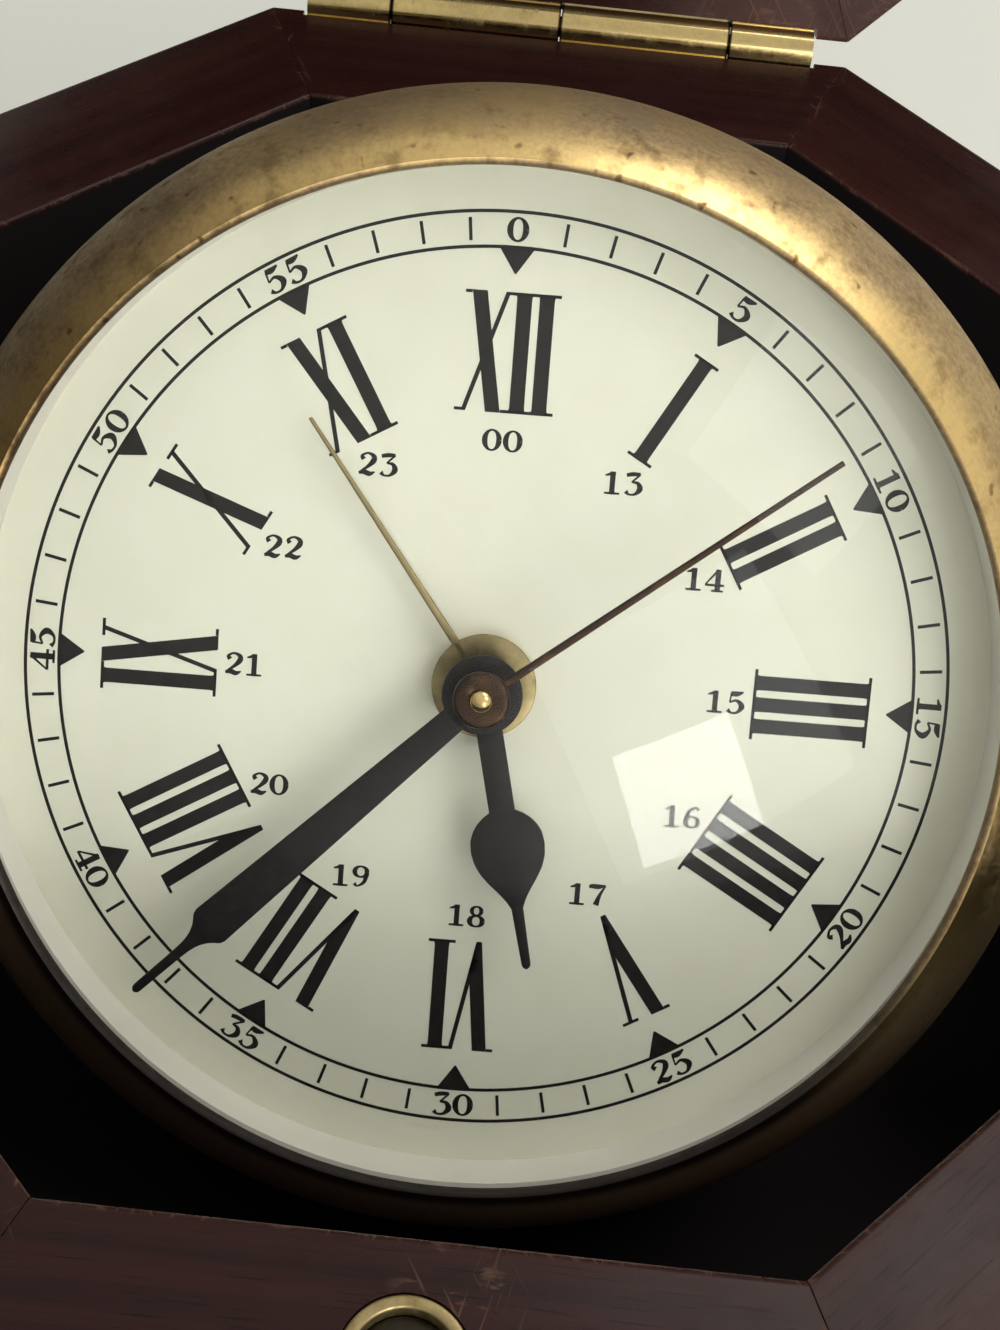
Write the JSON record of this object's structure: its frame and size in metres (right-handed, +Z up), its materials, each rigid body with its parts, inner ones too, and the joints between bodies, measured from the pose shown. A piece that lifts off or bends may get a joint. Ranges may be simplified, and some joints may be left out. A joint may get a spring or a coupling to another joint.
{
  "type": "maritime clock",
  "caption": "Brass alarm clock with a domed glass and Roman dial, tilting on side pivots inside an octagonal mahogany box with a hinged lid and a magnet catch.",
  "frame": {"origin": "centre of the base's underside, on the table", "axes": "+Z up; -Y to the front, where the catch is; +Y to the hinge; +X to the right of someone facing the dial"},
  "size_m": [0.165, 0.266, 0.2279],
  "materials": {
    "mahogany": "dark red mahogany under gloss lacquer",
    "baize": "dark green baize",
    "polished_brass": "bright polished",
    "aged_brass": "aged, tarnished in spots",
    "magnet": "dark",
    "steel": "plain",
    "white_nylon": "moulded",
    "crystal_glass": "clear, domed",
    "black_rubber": "soft",
    "dial_cream": "satin cream enamel",
    "hand_black": "semi-gloss black",
    "hand_bronze": "dark bronze",
    "hand_gilt": "gilt",
    "black_plastic": "moulded",
    "case_plastic": "moulded",
    "copper": "enamelled copper wire",
    "board_green": "circuit board",
    "battery_skin": "printed sleeve, left plain"
  },
  "bodies": {
    "base": {"base_stave_front": "mahogany", "base_stave_back": "mahogany", "base_pivot_staves": "mahogany", "base_corner_staves": "mahogany", "base_floor": "mahogany", "base_baize": "baize", "catch_cup": "polished_brass", "catch_magnet": "magnet", "hinge_leaf_base": "polished_brass", "hinge_pin": "polished_brass", "hinge_screws_base": "polished_brass", "pivot_bushes": "polished_brass", "pivot_washers": "white_nylon"},
    "lid": {"lid_stave_front": "mahogany", "lid_stave_back": "mahogany", "lid_side_staves": "mahogany", "lid_top": "mahogany", "lid_strike": "steel", "hinge_leaf_lid": "polished_brass", "hinge_screws_lid": "polished_brass"},
    "clock": {"drum": "aged_brass", "pivot_pins": "polished_brass", "bezel": "aged_brass", "crystal": "crystal_glass", "crystal_gasket": "black_rubber", "spacer_ring": "dial_cream", "dial": "dial_cream", "dial_nut": "steel", "back_cover": "black_plastic", "back_cover_screws": "steel", "movement_front": "case_plastic", "middle_plate": "case_plastic", "movement_back": "case_plastic", "stator": "steel", "coil_core": "steel", "coil_winding": "copper", "circuit_board": "board_green", "quartz_can": "steel", "buzzer": "black_plastic", "battery": "battery_skin", "battery_contacts": "steel"},
    "minutes": {"cannon_pinion": "white_nylon", "minute_hand": "hand_black"},
    "hours": {"hour_wheel": "white_nylon", "hour_hand": "hand_black"},
    "time_setting": {"minute_wheel": "white_nylon", "time_knob": "black_plastic"},
    "seconds": {"second_wheel": "white_nylon", "second_hand": "hand_bronze", "centre_cap": "polished_brass"},
    "third": {"third_wheel": "white_nylon"},
    "centre": {"centre_wheel": "white_nylon"},
    "intermediate": {"intermediate_wheel": "white_nylon"},
    "motor_rotor": {"rotor": "steel"},
    "alarm": {"alarm_wheel": "white_nylon", "alarm_hand": "hand_gilt"},
    "alarm_setting": {"alarm_arbor": "white_nylon", "alarm_knob": "black_plastic"},
    "switch": {"alarm_switch": "black_plastic"},
    "door": {"battery_door": "black_plastic"}
  },
  "joints": [
    {"name": "lid_swing", "type": "hinge", "parent": "base", "child": "lid", "pos_m": [0, 0.084, 0.0717], "axis": [-1, 0, 0], "range_deg": [-110, 0]},
    {"name": "clock_tilt", "type": "hinge", "parent": "base", "child": "clock", "pos_m": [0, 0, 0.05544], "axis": [1, 0, 0], "range_deg": [-48.13, 5]},
    {"name": "minute_turn", "type": "hinge", "parent": "clock", "child": "minutes", "pos_m": [0, -0.01139, 0.06565], "axis": [0, 0.7447, -0.6674], "continuous": true},
    {"name": "hour_turn", "type": "hinge", "parent": "clock", "child": "hours", "pos_m": [0, -0.01139, 0.06565], "axis": [0, 0.7447, -0.6674], "continuous": true},
    {"name": "time_knob_turn", "type": "hinge", "parent": "clock", "child": "time_setting", "pos_m": [-0.00027, -0.00499, 0.07279], "axis": [0, 0.7447, -0.6674], "continuous": true},
    {"name": "second_turn", "type": "hinge", "parent": "clock", "child": "seconds", "pos_m": [0, -0.01139, 0.06565], "axis": [0, 0.7447, -0.6674], "continuous": true},
    {"name": "third_turn", "type": "hinge", "parent": "clock", "child": "third", "pos_m": [-0.00714, -0.00882, 0.06853], "axis": [0, 0.7447, -0.6674], "continuous": true},
    {"name": "centre_turn", "type": "hinge", "parent": "clock", "child": "centre", "pos_m": [0, -0.01139, 0.06565], "axis": [0, 0.7447, -0.6674], "continuous": true},
    {"name": "intermediate_turn", "type": "hinge", "parent": "clock", "child": "intermediate", "pos_m": [0.0076, -0.01413, 0.0626], "axis": [0, 0.7447, -0.6674], "continuous": true},
    {"name": "rotor_turn", "type": "hinge", "parent": "clock", "child": "motor_rotor", "pos_m": [0.01442, -0.01522, 0.06139], "axis": [0, 0.7447, -0.6674], "continuous": true},
    {"name": "alarm_turn", "type": "hinge", "parent": "clock", "child": "alarm", "pos_m": [0, -0.01139, 0.06565], "axis": [0, 0.7447, -0.6674], "continuous": true},
    {"name": "alarm_knob_turn", "type": "hinge", "parent": "clock", "child": "alarm_setting", "pos_m": [-0.00817, -0.01475, 0.06191], "axis": [0, 0.7447, -0.6674], "continuous": true},
    {"name": "switch_slide", "type": "slide", "parent": "clock", "child": "switch", "axis": [0.9996, 0.0186, 0.0208], "range_m": [0, 0.005]},
    {"name": "door_pull", "type": "slide", "parent": "clock", "child": "door", "axis": [0, 0.7447, -0.6674], "range_m": [0, 0.01]}
  ],
  "couplings": [
    {"joint": "hour_turn", "follows": "minute_turn", "ratio": 0.083333},
    {"joint": "time_knob_turn", "follows": "minute_turn", "ratio": -0.33333},
    {"joint": "third_turn", "follows": "second_turn", "ratio": -0.13333},
    {"joint": "centre_turn", "follows": "second_turn", "ratio": 0.016667},
    {"joint": "intermediate_turn", "follows": "second_turn", "ratio": -5},
    {"joint": "rotor_turn", "follows": "second_turn", "ratio": 30},
    {"joint": "alarm_knob_turn", "follows": "alarm_turn", "ratio": -4}
  ]
}
